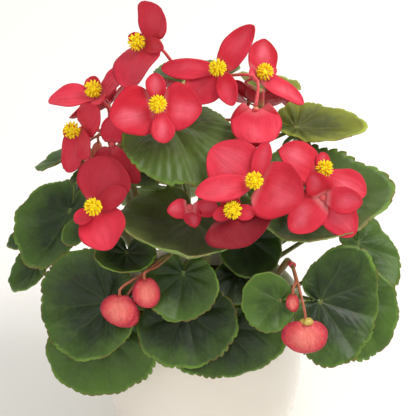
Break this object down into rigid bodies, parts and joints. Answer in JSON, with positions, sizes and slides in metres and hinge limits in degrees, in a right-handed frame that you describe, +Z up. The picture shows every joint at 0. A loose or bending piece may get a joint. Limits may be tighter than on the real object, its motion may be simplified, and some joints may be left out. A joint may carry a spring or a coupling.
{
  "type": "potted begonia",
  "caption": "Bushy wax begonia with glossy toothed round leaves, red four-tepalled flowers with yellow stamens and hanging pink buds, in a round white glazed pot.",
  "frame": {"origin": "middle of the pot's flat foot, where it rests", "axes": "+Z up through the pot's axis, -Y towards the side that the picture shows"},
  "size_m": [0.2361, 0.1931, 0.3005],
  "materials": {
    "pot_glaze": "smooth warm white glaze",
    "potting_soil": "dark crumbly potting soil",
    "leaf_green": "glossy fleshy leaf, lighter along its toothed rim",
    "flower_stalk": "coral pink juicy stalk and bud",
    "tepal_red": "soft red tepal with a pinkish sheen",
    "stamen_yellow": "powdery yellow anthers"
  },
  "bodies": {
    "root": {"pot": "pot_glaze", "soil": "potting_soil", "leafy_stem_front_left": "leaf_green", "leafy_stem_left": "leaf_green", "leafy_stem_front": "leaf_green", "leafy_stem_front_right": "leaf_green", "leafy_stem_right": "leaf_green", "leafy_stem_middle": "leaf_green", "leafy_stem_top": "leaf_green", "leafy_stem_back_right": "leaf_green", "leafy_stem_back": "leaf_green", "leafy_stem_back_left": "leaf_green", "leafy_stem_back_low": "leaf_green", "flower_spray_top": "flower_stalk", "flower_spray_left": "flower_stalk", "flower_spray_front_left": "flower_stalk", "flower_spray_front": "flower_stalk", "flower_spray_middle": "flower_stalk", "flower_spray_back_right": "flower_stalk", "flower_spray_front_right": "flower_stalk", "flower_spray_back": "flower_stalk", "flower_spray_back_left": "flower_stalk", "flower_spray_back_low": "flower_stalk", "bloom_01_tepals": "tepal_red", "bloom_01_stamens": "stamen_yellow", "bloom_02_tepals": "tepal_red", "bloom_02_stamens": "stamen_yellow", "bloom_03_tepals": "tepal_red", "bloom_03_stamens": "stamen_yellow", "bloom_04_tepals": "tepal_red", "bloom_04_stamens": "stamen_yellow", "bloom_05_tepals": "tepal_red", "bloom_05_stamens": "stamen_yellow", "bloom_06_tepals": "tepal_red", "bloom_06_stamens": "stamen_yellow", "bloom_07_tepals": "tepal_red", "bloom_08_tepals": "tepal_red", "bloom_08_stamens": "stamen_yellow", "bloom_09_tepals": "tepal_red", "bloom_09_stamens": "stamen_yellow", "bloom_10_tepals": "tepal_red", "bloom_10_stamens": "stamen_yellow", "bloom_11_tepals": "tepal_red", "bloom_12_tepals": "tepal_red", "bloom_12_stamens": "stamen_yellow", "bloom_13_tepals": "tepal_red", "bloom_14_tepals": "tepal_red", "bloom_14_stamens": "stamen_yellow", "bloom_15_tepals": "tepal_red", "bloom_15_stamens": "stamen_yellow", "bloom_16_tepals": "tepal_red", "bloom_16_stamens": "stamen_yellow", "bloom_17_tepals": "tepal_red", "bloom_17_stamens": "stamen_yellow", "bloom_18_tepals": "tepal_red"}
  },
  "joints": []
}
